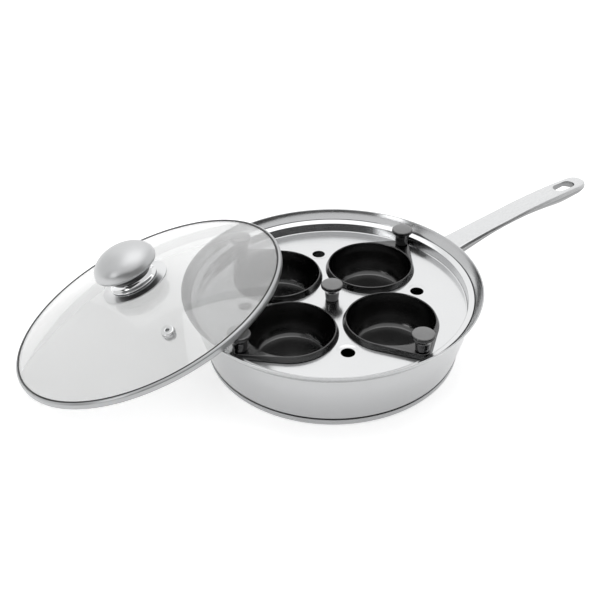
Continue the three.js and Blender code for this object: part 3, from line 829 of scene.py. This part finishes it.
def catmull(table, steps):
    """A smooth run of rows through the table's rows."""
    made = []
    last = len(table) - 1
    for i in range(last):
        a, b, c, d = (table[min(max(k, 0), last)] for k in (i - 1, i, i + 1, i + 2))
        for step in range(steps):
            s = step / steps
            made.append(tuple(
                q + 0.5 * s * (r - p + s * (2 * p - 5 * q + 4 * r - t + s * (3 * (q - r) + t - p)))
                for p, q, r, t in zip(a, b, c, d)))
    made.append(table[-1])
    return made


def handle_mesh():
    """The handle's smooth bar, its section drawn through the stations along it."""
    right = HANDLE_SECTION_SHARES
    section_points = [*right, (0.0, -1.0), *[(-a, d) for a, d in reversed(right)]]
    rounded = fillet(section_points, HANDLE_SECTION_FILLET_SHARE, True)
    stations = catmull(HANDLE_SHARES, HANDLE_STEPS)
    vertices = []
    for along, up, wide, deep in stations:
        for across, down in rounded:
            vertices.append((
                HANDLE_ROOT + along * HANDLE_LENGTH,
                across * wide * HANDLE_HALF_WIDTH,
                HANDLE_ROOT_HEIGHT + up * HANDLE_RISE + down * deep * HANDLE_DEPTH,
            ))
    count = len(rounded)
    ends = [tuple(range(count)), tuple(range(len(vertices) - count, len(vertices)))]
    return smooth_mesh("pan_handle", vertices, [*ends, *ring_faces(len(stations), count)])


def handle(steel):
    """The handle, cut to the wall, with its hanging slot and the hollow below it."""
    obj = new_piece("pan_handle", handle_mesh(), "pan", steel, ["handle"])
    low, high = HANDLE_ROOT_HEIGHT, HANDLE_ROOT_HEIGHT + 2 * HANDLE_RISE
    roof = HANDLE_ROOT_HEIGHT + HANDLE_RISE - SLOT_SHEET
    slot = stadium_cutter("slot_cutter", SLOT_WIDTH, SLOT_LENGTH, low, high)
    width, length = SLOT_WIDTH + 2 * SLOT_SIDE_MARGIN, SLOT_LENGTH + 2 * SLOT_END_MARGIN
    relief = stadium_cutter("relief_cutter", width, length, low, roof)
    cut(obj, [wall_cutter(), slot, relief])
    bevel = obj.modifiers.new("edge", "BEVEL")
    bevel.width = HANDLE_EDGE * MM
    bevel.segments = HANDLE_EDGE_STEPS
    bevel.limit_method = "ANGLE"
    bevel.angle_limit = math.radians(HANDLE_EDGE_TURN)
    bevel.harden_normals = True


def wall_cutter():
    """The outside of the vessel with a small gap, to cut the handle's root to the wall."""
    outline, _ = section("pan_body")
    widest = max(r for r, _ in outline)
    highest = max(z for _, z in outline)
    outside = []
    for radius, height in outline:
        outside.append((radius + (0 if radius == 0 else FIT_GAP), height))
        if radius == widest and height == highest:
            break
    mesh = revolve("wall_cutter", [*outside, (0, outside[-1][1])], False, WIDE_SEGMENTS)
    return link_object("wall_cutter", mesh)


def stadium_cutter(name, width, length, low, high):
    """A long hole's cutter at the slot's place in the handle."""
    radius = width / 2
    half = length / 2 - radius
    middle = HANDLE_ROOT + HANDLE_LENGTH - SLOT_INSET
    outline = []
    for i in range(2 * SLOT_STEPS):
        turn = math.pi * i / SLOT_STEPS - math.pi / 2
        shift = half if i < SLOT_STEPS else -half
        outline.append((middle + shift + radius * math.cos(turn), radius * math.sin(turn)))
    count = len(outline)
    vertices = [(x, y, z) for z in (low, high) for x, y in outline]
    ends = [tuple(range(count)), tuple(range(count, 2 * count))]
    return link_object(name, smooth_mesh(name, vertices, [*ends, *ring_faces(2, count)]))


def lid():
    """The lid's pieces, turned about its leaning axis, with the grain of their metals in its own frame."""
    place = lid_place()
    rim_steel = turned_steel("lid_rim_steel", BAND_TONES, roughness=0.26, grain=900, place=place)
    satin = turned_steel("lid_plate_steel", MIRROR_TONES, roughness=0.2, grain=1200, spread=0.05, place=place)
    mirror = turned_steel(
        "lid_mirror_steel", MIRROR_TONES, roughness=0.05, grain=1200, spread=0.03, place=place)
    spun = turned_steel("spun_steel", SPUN_TONES, roughness=0.34, grain=2200, spread=0.1, place=place)
    plastic = moulded_plastic("lid_neck_plastic", BLACK_TONES, roughness=0.32, scale=900, place=place)
    silicone = moulded_plastic("silicone_washer", SILICONE_TONES, roughness=0.6, scale=600, place=place)
    dome = dome_outline(place)
    mesh = revolve("lid_dome", fillet(dome, SOFT_EDGE, True), True, WIDE_SEGMENTS)
    new_piece("lid_dome", mesh, "lid", lid_glass_material(place), ["lid_glass"], place)
    turned_piece("lid_rim", "lid_band", "lid", rim_steel, SOFT_EDGE, place)
    for name, node, material, slot_name, edge in (
        ("lid_plate", "lid_knob_plate", satin, "polished_steel", FINE_EDGE),
        ("lid_collar", "lid_knob_collar", mirror, "polished_steel", SOFT_EDGE),
        ("lid_neck", "lid_knob_neck", plastic, "black_plastic", SOFT_EDGE),
        ("lid_grip", "lid_knob_cap", spun, "brushed_steel", FINE_EDGE),
        ("lid_washer", "lid_knob_washer", silicone, "silicone", FINE_EDGE),
    ):
        turned_piece(name, node, "lid", material, edge, place, LID_KNOB_SEGMENTS)
    vent(mirror, place, dome)
    lid_seal(dome, place)


def lid_seal(dome, place):
    """The dark line of sealant that shows all round between the glass and its band."""
    rim, inner = dome[0], dome[1]
    slope = (inner[1] - rim[1]) / (rim[0] - inner[0])
    outer_radius = rim[0] - FIT_GAP - FINE_EDGE
    inner_radius = outer_radius - SEAL_WIDTH
    foot = [(radius, rim[1] + slope * (rim[0] - radius)) for radius in (outer_radius, inner_radius)]
    outline = [*foot, *[(radius, height + SEAL_HEIGHT) for radius, height in reversed(foot)]]
    sealant = moulded_plastic("lid_sealant", BLACK_TONES, roughness=0.5, scale=900, place=place)
    mesh = revolve("lid_seal", fillet(outline, FINE_EDGE / 2, True), True, WIDE_SEGMENTS)
    new_piece("lid_seal", mesh, "lid", sealant, [], place)


def dome_outline(place):
    """The dome's outline with its bore, from the CAD node's rim points on the side without the vent."""
    inverse = place.inverted()
    rings = set()
    for vertex in nodes["lid_glass"].data.vertices:
        local = inverse @ vertex.co / MM
        if abs(local.x) < DOME_PROFILE_HALF_WIDTH and local.y > DOME_PROFILE_START:
            rings.add((round(local.y, 1), round(local.z, 2)))
    top, bottom = [], []
    for radius in sorted({r for r, _ in rings}):
        heights = sorted(z for r, z in rings if r == radius)
        if len(heights) == 2:
            bottom.append((radius, heights[0]))
            top.append((radius, heights[1]))
    rim = top[-1]
    rise = top[0][1] - rim[1]
    apex = rim[1] + rise / (1 - (top[0][0] / rim[0]) ** 2)
    thickness = top[0][1] - bottom[0][1]
    radii = [mix(rim[0], LID_BORE_RADIUS, i / DOME_STEPS) for i in range(DOME_STEPS + 1)]
    upper = [(r, rim[1] + (apex - rim[1]) * (1 - (r / rim[0]) ** 2)) for r in radii]
    lower = [(r, z - thickness) for r, z in reversed(upper)]
    return [*upper, *lower]


def vent(mirror, place, dome):
    """The grommet, turned about its own axis, square to the dome."""
    mesh = nodes["steam_vent"].data
    points = {tuple(round(c, 6) for c in v.co) for v in mesh.vertices}
    centre = sum((Vector(p) for p in points), Vector()) / len(points)
    local = place.inverted() @ centre
    radius = math.hypot(local.x, local.y)
    rim, inner = dome[0], dome[1]
    slope = -(inner[1] - rim[1]) / (inner[0] - rim[0]) * (radius / MM) / rim[0]
    turn = math.atan2(local.y, local.x)
    tilt = Matrix.Rotation(turn, 4, "Z") @ Matrix.Rotation(math.atan(slope), 4, "Y")
    grommet = place @ Matrix.Translation(local) @ tilt
    outline = fillet([
        (VENT_BORE_RADIUS, VENT_FOOT),
        (VENT_NUT_RADIUS, VENT_FOOT),
        (VENT_NUT_RADIUS, VENT_NUT_TOP),
        (VENT_TUBE_RADIUS, VENT_NUT_TOP),
        (VENT_TUBE_RADIUS, FIT_GAP),
        (VENT_FLANGE_RADIUS, FIT_GAP),
        (VENT_FLANGE_RADIUS, VENT_FLANGE_TOP),
        (VENT_CROWN_RADIUS, VENT_CROWN),
        (VENT_BORE_RADIUS, VENT_CROWN),
    ], SOFT_EDGE, True)
    moved = [(r, z + VENT_MIDDLE_DROP) for r, z in outline]
    mesh = revolve("vent_grommet", moved, True, SMALL_SEGMENTS)
    new_piece("vent_grommet", mesh, "lid", mirror, ["steam_vent"], grommet)


def carried_nodes(steel, aluminium):
    """CAD nodes that stay as they are, hidden inside or seen from below, with their own materials."""
    for name, material in [
        ("base_core", aluminium),
        ("centre_knob_screw", steel),
        ("lid_knob_screw", steel),
        *[(f"cup_screw_{cup}", steel) for cup in EAR_ANGLES],
    ]:
        node = nodes[name]
        node.data.materials.clear()
        node.data.materials.append(material)


def camera():
    """The photograph's viewpoint."""
    data = bpy.data.cameras.new("camera")
    data.sensor_width = CAMERA_SENSOR
    data.lens = CAMERA_LENS
    data.clip_start, data.clip_end = CAMERA_CLIP
    obj = link_object("camera", data)
    columns = (CAMERA_RIGHT, CAMERA_UP, CAMERA_BACK)
    place = Matrix(columns).transposed().to_4x4()
    place.translation = CAMERA_PLACE
    obj.matrix_world = place
    bpy.context.scene.camera = obj


def floor():
    """A plain white floor that the pan and the lid stand on."""
    low, high = -FLOOR_HALF, FLOOR_HALF
    mesh = bpy.data.meshes.new("floor")
    corners = [(low, low, 0), (high, low, 0), (high, high, 0), (low, high, 0)]
    mesh.from_pydata(corners, [], [(0, 1, 2, 3)])
    obj = link_object("floor", mesh)
    shader = Shader("floor_paper")
    grain = shader.noise(shader.coordinates(), scale=400, detail=2)
    shader.colour(shader.tint(grain, *FLOOR_TONES))
    shader.set(Roughness=0.9, Specular_IOR_Level=0.0, Emission_Color=(1, 1, 1, 1))
    lift = shader.math("MULTIPLY", background_ray(shader.tree), FLOOR_LIFT)
    shader.link(lift, shader.surface.inputs["Emission Strength"])
    mesh.materials.append(shader.material)


def area_light(name, direction, distance, size, radiance):
    """A softbox facing the pan, whose face has that radiance."""
    data = bpy.data.lights.new(name, "AREA")
    data.shape = "RECTANGLE"
    data.size, data.size_y = size
    data.energy = radiance * math.pi * size[0] * size[1]
    obj = link_object(name, data)
    place = Vector(direction).normalized() * distance
    obj.location = place
    obj.rotation_euler = (-place).to_track_quat("-Z", "Y").to_euler()


def background_ray(tree):
    """1 for rays of the camera, in metal and through glass, 0 for the others."""
    path = tree.nodes.new("ShaderNodeLightPath")
    seen = path.outputs["Is Camera Ray"]
    for kind in ("Is Glossy Ray", "Is Transmission Ray"):
        add = tree.nodes.new("ShaderNodeMath")
        add.operation = "MAXIMUM"
        tree.links.new(seen, add.inputs[0])
        tree.links.new(path.outputs[kind], add.inputs[1])
        seen = add.outputs[0]
    return seen


def dark_wall():
    """The dark side of the studio: a curved grey wall behind the camera and out of its view."""
    middle = math.atan2(CAMERA_BACK[1], CAMERA_BACK[0])
    half = math.radians(WALL_HALF_ANGLE)
    vertices = []
    for step in range(WALL_STEPS + 1):
        turn = mix(middle - half, middle + half, step / WALL_STEPS)
        x, y = WALL_DISTANCE * math.cos(turn), WALL_DISTANCE * math.sin(turn)
        vertices += [(x, y, height) for height in WALL_HEIGHTS]
    faces = [(2 * i, 2 * i + 2, 2 * i + 3, 2 * i + 1) for i in range(WALL_STEPS)]
    mesh = bpy.data.meshes.new("dark_wall")
    mesh.from_pydata(vertices, [], faces)
    obj = link_object("dark_wall", mesh)
    shader = Shader("wall_cloth")
    weave = shader.noise(shader.coordinates(), scale=3, detail=2)
    shader.colour(shader.tint(weave, *WALL_TONES))
    shader.set(Roughness=1.0, Specular_IOR_Level=0.0)
    mesh.materials.append(shader.material)
    obj.visible_camera = False


def studio():
    """A white surround, seen at full white by the camera, in metal and through glass."""
    world = bpy.data.worlds.new("studio")
    bpy.context.scene.world = world
    world.use_nodes = True
    tree = world.node_tree
    background = tree.nodes["Background"]
    background.inputs["Color"].default_value = (1, 1, 1, 1)
    level = tree.nodes.new("ShaderNodeMapRange")
    level.inputs["To Min"].default_value = AMBIENT
    level.inputs["To Max"].default_value = 1.0
    tree.links.new(background_ray(tree), level.inputs["Value"])
    tree.links.new(level.outputs[0], background.inputs["Strength"])
    for name, (direction, distance, size, radiance) in SOFTBOXES.items():
        area_light(name, direction, distance, size, radiance)
    dark_wall()


def build():
    """The finished pan in its studio."""
    steel = turned_steel("satin_steel", STEEL_TONES, roughness=0.16, grain=900, foot=(FOOT_SHADE_TONE, FOOT_SHADE_FADE))
    mirror = turned_steel("mirror_steel", MIRROR_TONES, roughness=0.15, grain=1200, spread=0.05)
    screw_steel = turned_steel("screw_steel", SCREW_TONES, roughness=0.3, grain=1500)
    brushed = brushed_steel(
        "brushed_steel_long", HANDLE_TONES, UNDERSIDE_SHADE_TONE, roughness=0.22, direction=0, grain=2400)
    aluminium = turned_steel("bare_aluminium", BARE_TONES, roughness=0.4, grain=700)
    base_steel = turned_steel("base_steel", BASE_TONES, roughness=0.24, grain=900)
    knob_plastic = knob_plastic_material()
    pan_body(steel, base_steel)
    tray(mirror)
    cups(non_stick(), knob_plastic)
    centre_knob(knob_plastic)
    handle(brushed)
    lid()
    carried_nodes(screw_steel, aluminium)
    camera()
    floor()
    studio()
    bpy.context.scene.view_settings.view_transform = "Standard"


build()
